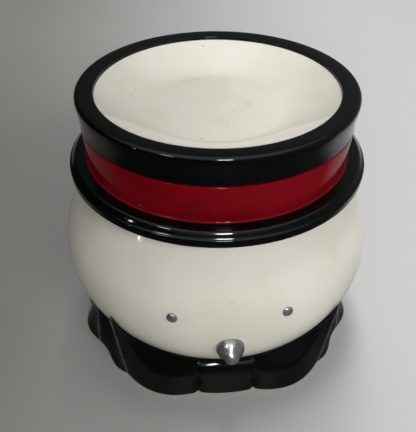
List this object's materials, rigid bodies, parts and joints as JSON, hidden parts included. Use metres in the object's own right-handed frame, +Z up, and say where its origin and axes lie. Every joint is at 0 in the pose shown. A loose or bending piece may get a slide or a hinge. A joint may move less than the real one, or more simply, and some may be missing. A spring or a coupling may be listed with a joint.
{
  "type": "candle holder",
  "caption": "Glazed ceramic snowman-head candle holder: hollow head on a pleated collar, top hat with a band, shallow lift-off dish on top, tealight behind a rear arch.",
  "frame": {"origin": "middle of the flat base that the head stands on, on the table", "axes": "+Z up, along the axis of the head and the hat; the face looks along -Y; +X to the viewer's right"},
  "size_m": [0.142, 0.1492, 0.126],
  "materials": {
    "white_glaze": "glossy off-white glaze",
    "black_glaze": "glossy black glaze",
    "red_glaze": "glossy deep red glaze",
    "silver_paint": "silver-grey lustre over ceramic",
    "thin_aluminium": "bright drawn foil",
    "wax": "white candle wax",
    "tinned_steel": "tinned sheet",
    "wick_cotton": "waxed cotton braid"
  },
  "bodies": {
    "holder": {"head_shell": "white_glaze", "collar": "black_glaze", "hat_brim": "black_glaze", "hat_band": "red_glaze", "nose": "silver_paint", "eye_left": "silver_paint", "eye_right": "silver_paint"},
    "dish": {"dish_rim": "black_glaze", "dish_bowl": "white_glaze"},
    "tealight": {"tealight_cup": "thin_aluminium", "tealight_wax": "wax", "wick_sustainer": "tinned_steel", "wick": "wick_cotton"}
  },
  "joints": [
    {"name": "dish_lift", "type": "slide", "parent": "holder", "child": "dish", "axis": [0, 0, 1], "range_m": [0, 0.06]},
    {"name": "tealight_slide", "type": "slide", "parent": "holder", "child": "tealight", "axis": [0, 1, 0], "range_m": [0, 0.11]}
  ]
}
